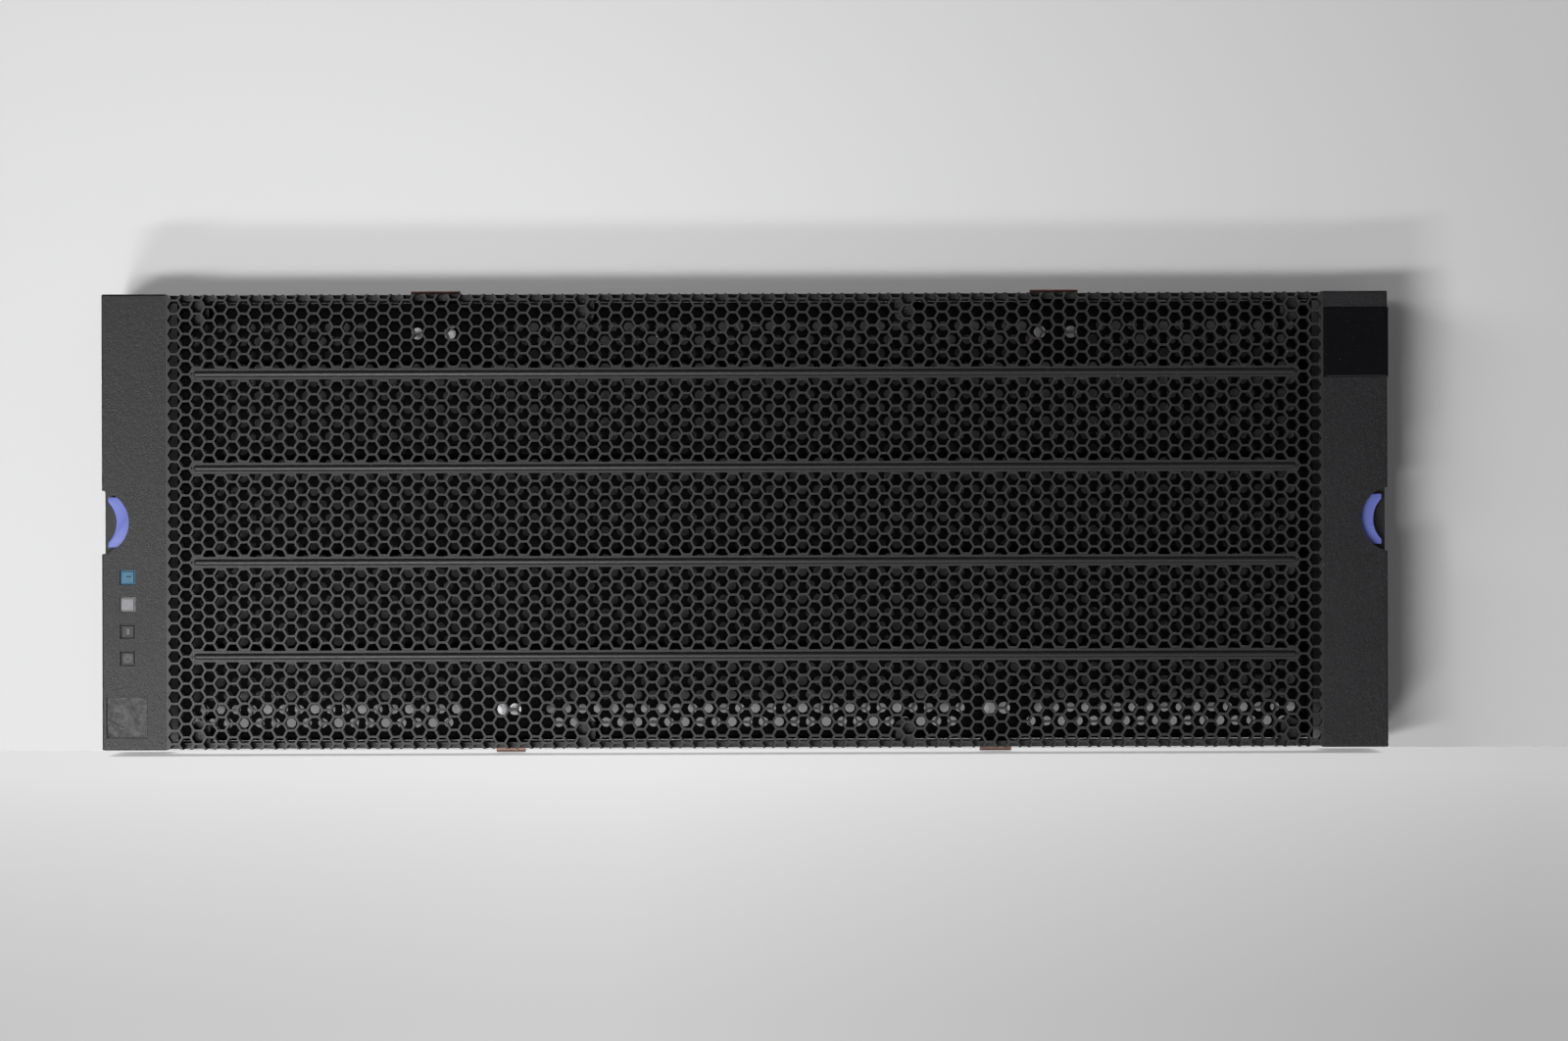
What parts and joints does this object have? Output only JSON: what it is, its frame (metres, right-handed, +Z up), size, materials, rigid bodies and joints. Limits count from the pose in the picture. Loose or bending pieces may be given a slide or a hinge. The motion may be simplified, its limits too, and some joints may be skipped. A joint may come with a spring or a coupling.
{
  "type": "server front bezel",
  "caption": "Rack server front bezel: honeycomb grille between two end panels, perforated screen behind, indicator windows and sprung release latches.",
  "frame": {"origin": "middle of the bezel's footprint, at the height of the lowest clip", "axes": "+X to the right of someone facing the bezel, front facing -Y, +Z up as it is mounted in a rack"},
  "size_m": [0.4831, 0.0362, 0.1756],
  "materials": {
    "frame_plastic": "fine grained dark grey moulded plastic",
    "grille_plastic": "moulded plastic, slightly smoother than the frame",
    "screen_steel": "black coated sheet steel",
    "badge_gloss": "high gloss black",
    "label_film": "blank dark film, lightly creased",
    "lens_blue": "translucent teal blue",
    "lens_white": "translucent milky white",
    "lens_smoke": "smoked clear plastic",
    "inner_plastic": "plain moulded plastic",
    "touch_blue": "satin periwinkle blue",
    "fastener_steel": "zinc plated steel",
    "spring_steel": "bright spring steel",
    "clip_steel": "dark brownish spring steel"
  },
  "bodies": {
    "bezel": {"bezel_frame": "frame_plastic", "honeycomb_grille": "grille_plastic", "perforated_screen": "screen_steel", "screen_screws": "fastener_steel", "badge_plate": "badge_gloss", "blank_label": "label_film", "identify_lens": "lens_blue", "fault_lens": "lens_white", "activity_lens": "lens_smoke", "power_lens": "lens_smoke", "light_pipe_carrier": "inner_plastic", "carrier_screws": "fastener_steel", "left_latch_spring": "spring_steel", "left_latch_cover": "inner_plastic", "left_cover_screws": "fastener_steel", "right_latch_spring": "spring_steel", "right_latch_cover": "inner_plastic", "right_cover_screws": "fastener_steel", "top_left_clip": "clip_steel", "top_right_clip": "clip_steel", "bottom_left_clip": "clip_steel", "bottom_right_clip": "clip_steel", "clip_rivets": "fastener_steel"},
    "left_latch": {"left_latch": "touch_blue"},
    "right_latch": {"right_latch": "touch_blue"}
  },
  "joints": [
    {"name": "left_latch_slide", "type": "slide", "parent": "bezel", "child": "left_latch", "axis": [1, 0, 0], "range_m": [0, 0.0035], "stiffness_N_per_m": 400, "springref_m": -0.002, "deforming": ["left_latch_spring"]},
    {"name": "right_latch_slide", "type": "slide", "parent": "bezel", "child": "right_latch", "axis": [-1, 0, 0], "range_m": [0, 0.0035], "stiffness_N_per_m": 400, "springref_m": -0.002, "deforming": ["right_latch_spring"]}
  ]
}
